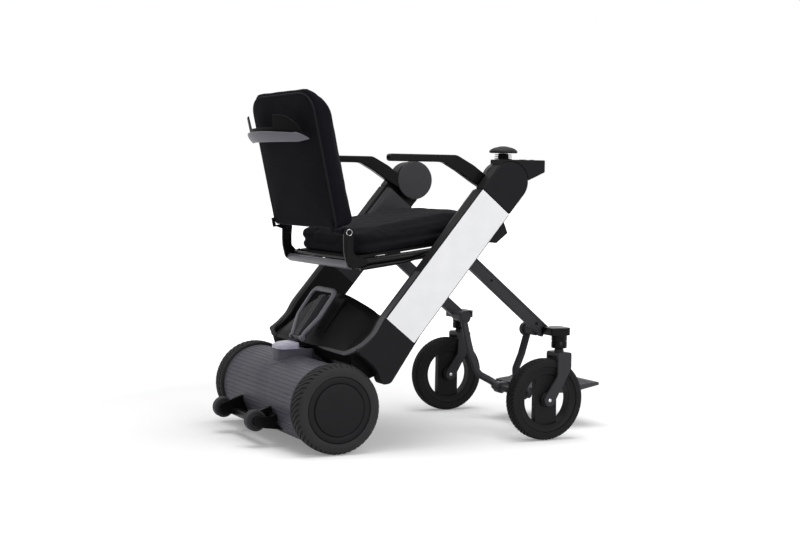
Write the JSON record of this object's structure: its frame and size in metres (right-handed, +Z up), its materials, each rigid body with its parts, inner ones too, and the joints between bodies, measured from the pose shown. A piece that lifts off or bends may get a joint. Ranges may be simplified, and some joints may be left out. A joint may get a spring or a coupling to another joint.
{
  "type": "folding power wheelchair",
  "caption": "Lightweight folding power chair with slanted side arms, a drive drum between the rear wheels, swivel casters, a folding back, a footplate and a joystick",
  "frame": {"origin": "on the floor under the middle of the bounding box", "axes": "+Z up, the chair faces -Y, its left side is +X"},
  "size_m": [0.555, 0.9226, 0.8037],
  "materials": {
    "satin_black_shell": "satin black",
    "white_inlay": "smooth very light grey",
    "grey_drum": "mid grey, finely ribbed",
    "light_grey_trim": "satin light grey",
    "black_frame": "gloss black paint",
    "bright_steel": "bright steel",
    "motor_metal": "cast grey",
    "black_tyre": "black tyre",
    "black_wheel": "dark grey moulding",
    "black_fabric": "black woven cover",
    "soft_rubber": "soft black rubber",
    "dark_grey_grip": "dark grey grip"
  },
  "bodies": {
    "chair": {"body_housing": "satin_black_shell", "arm_left": "satin_black_shell", "arm_right": "satin_black_shell", "arm_cap_left": "satin_black_shell", "arm_cap_right": "satin_black_shell", "inlay_left": "white_inlay", "inlay_right": "white_inlay", "drive_end_left": "grey_drum", "drive_end_right": "grey_drum", "motor_left": "motor_metal", "motor_right": "motor_metal", "back_bracket_left": "black_frame", "back_bracket_right": "black_frame", "drive_drum": "grey_drum", "drive_neck": "grey_drum", "drive_cap": "light_grey_trim", "anti_tip_frame": "black_frame", "seat_frame": "black_frame", "seat_crossbar": "light_grey_trim", "seat_board": "soft_rubber", "seat_cushion": "black_fabric", "control_box": "satin_black_shell", "joystick_boot": "soft_rubber"},
    "rear_wheel_left": {"rear_tyre_left": "black_tyre", "rear_rim_left": "black_wheel", "rear_hub_cap_left": "black_wheel"},
    "tip_wheel_left": {"tip_roller_left": "black_wheel"},
    "caster_left": {"caster_fork_left": "black_frame", "caster_axle_left": "bright_steel"},
    "front_wheel_left": {"caster_wheel_left": "black_wheel", "caster_tyre_left": "black_tyre"},
    "armrest_left_arm": {"armrest_left": "black_frame"},
    "rear_wheel_right": {"rear_tyre_right": "black_tyre", "rear_rim_right": "black_wheel", "rear_hub_cap_right": "black_wheel"},
    "tip_wheel_right": {"tip_roller_right": "black_wheel"},
    "caster_right": {"caster_fork_right": "black_frame", "caster_axle_right": "bright_steel"},
    "front_wheel_right": {"caster_wheel_right": "black_wheel", "caster_tyre_right": "black_tyre"},
    "armrest_right_arm": {"armrest_right": "black_frame"},
    "front_frame": {"leg_left": "black_frame", "leg_right": "black_frame", "caster_mount_left": "black_frame", "caster_mount_right": "black_frame", "footrest_frame": "black_frame"},
    "foot_support": {"footplate": "black_frame"},
    "backrest": {"back_panel": "black_fabric", "back_cushion": "black_fabric", "push_handle": "dark_grey_grip"},
    "battery": {"battery_pack": "satin_black_shell"},
    "battery_bail": {"battery_handle": "light_grey_trim"},
    "stick_ring": {"joystick_gimbal": "bright_steel"},
    "stick": {"joystick_stem": "bright_steel", "joystick_knob": "soft_rubber"},
    "power_key": {"power_button": "light_grey_trim"},
    "speed_knob": {"speed_dial": "light_grey_trim"},
    "fold_catch": {"fold_lever": "satin_black_shell"}
  },
  "joints": [
    {"name": "rear_wheel_left_spin", "type": "hinge", "parent": "chair", "child": "rear_wheel_left", "pos_m": [0.2527, 0.3037, 0.0997], "axis": [1, 0, 0], "continuous": true},
    {"name": "tip_wheel_left_spin", "type": "hinge", "parent": "chair", "child": "tip_wheel_left", "pos_m": [0.1087, 0.4373, 0.0607], "axis": [1, 0, 0], "continuous": true},
    {"name": "caster_left_swivel", "type": "hinge", "parent": "front_frame", "child": "caster_left", "pos_m": [0.25, -0.2663, 0.206], "axis": [0, 0, 1], "continuous": true},
    {"name": "front_wheel_left_spin", "type": "hinge", "parent": "caster_left", "child": "front_wheel_left", "pos_m": [0.25, -0.2283, 0.0957], "axis": [1, 0, 0], "continuous": true},
    {"name": "armrest_left_lift", "type": "hinge", "parent": "chair", "child": "armrest_left_arm", "pos_m": [0.229, -0.1127, 0.602], "axis": [1, 0, 0], "range_deg": [0, 75]},
    {"name": "rear_wheel_right_spin", "type": "hinge", "parent": "chair", "child": "rear_wheel_right", "pos_m": [-0.2527, 0.3037, 0.0997], "axis": [1, 0, 0], "continuous": true},
    {"name": "tip_wheel_right_spin", "type": "hinge", "parent": "chair", "child": "tip_wheel_right", "pos_m": [-0.1087, 0.4373, 0.0607], "axis": [1, 0, 0], "continuous": true},
    {"name": "caster_right_swivel", "type": "hinge", "parent": "front_frame", "child": "caster_right", "pos_m": [-0.25, -0.2663, 0.206], "axis": [0, 0, 1], "continuous": true},
    {"name": "front_wheel_right_spin", "type": "hinge", "parent": "caster_right", "child": "front_wheel_right", "pos_m": [-0.25, -0.2283, 0.0957], "axis": [1, 0, 0], "continuous": true},
    {"name": "armrest_right_lift", "type": "hinge", "parent": "chair", "child": "armrest_right_arm", "pos_m": [-0.229, -0.1127, 0.602], "axis": [1, 0, 0], "range_deg": [0, 35]},
    {"name": "front_fold", "type": "hinge", "parent": "chair", "child": "front_frame", "pos_m": [0, -0.0003, 0.456], "axis": [1, 0, 0], "range_deg": [0, 45]},
    {"name": "footplate_flip", "type": "hinge", "parent": "front_frame", "child": "foot_support", "pos_m": [0, -0.2823, 0.0805], "axis": [-1, 0, 0], "range_deg": [0, 75]},
    {"name": "back_fold", "type": "hinge", "parent": "chair", "child": "backrest", "pos_m": [0, 0.2497, 0.484], "axis": [1, 0, 0], "range_deg": [0, 66]},
    {"name": "battery_slide", "type": "slide", "parent": "chair", "child": "battery", "axis": [0, 0.8171, 0.5764], "range_m": [0, 0.12]},
    {"name": "battery_bail_lift", "type": "hinge", "parent": "battery", "child": "battery_bail", "pos_m": [0, 0.29537, 0.23333], "axis": [-1, 0, 0], "range_deg": [0, 60]},
    {"name": "stick_side", "type": "hinge", "parent": "chair", "child": "stick_ring", "pos_m": [-0.2449, -0.1096, 0.6545], "axis": [0, 1, 0], "range_deg": [-18, 18], "stiffness_Nm_per_rad": 0.3, "deforming": ["joystick_boot"]},
    {"name": "stick_fore", "type": "hinge", "parent": "stick_ring", "child": "stick", "pos_m": [-0.2449, -0.1096, 0.6545], "axis": [1, 0, 0], "range_deg": [-18, 18], "stiffness_Nm_per_rad": 0.3, "deforming": ["joystick_boot"]},
    {"name": "power_press", "type": "slide", "parent": "chair", "child": "power_key", "axis": [0, 0, -1], "range_m": [0, 0.0008], "stiffness_N_per_m": 400},
    {"name": "speed_turn", "type": "hinge", "parent": "chair", "child": "speed_knob", "pos_m": [-0.25, -0.1583, 0.6525], "axis": [0, 0, 1], "range_deg": [-135, 135]},
    {"name": "fold_catch_lift", "type": "hinge", "parent": "chair", "child": "fold_catch", "pos_m": [-0.247, -0.0649, 0.4685], "axis": [1, 0, 0], "range_deg": [0, 25]}
  ]
}
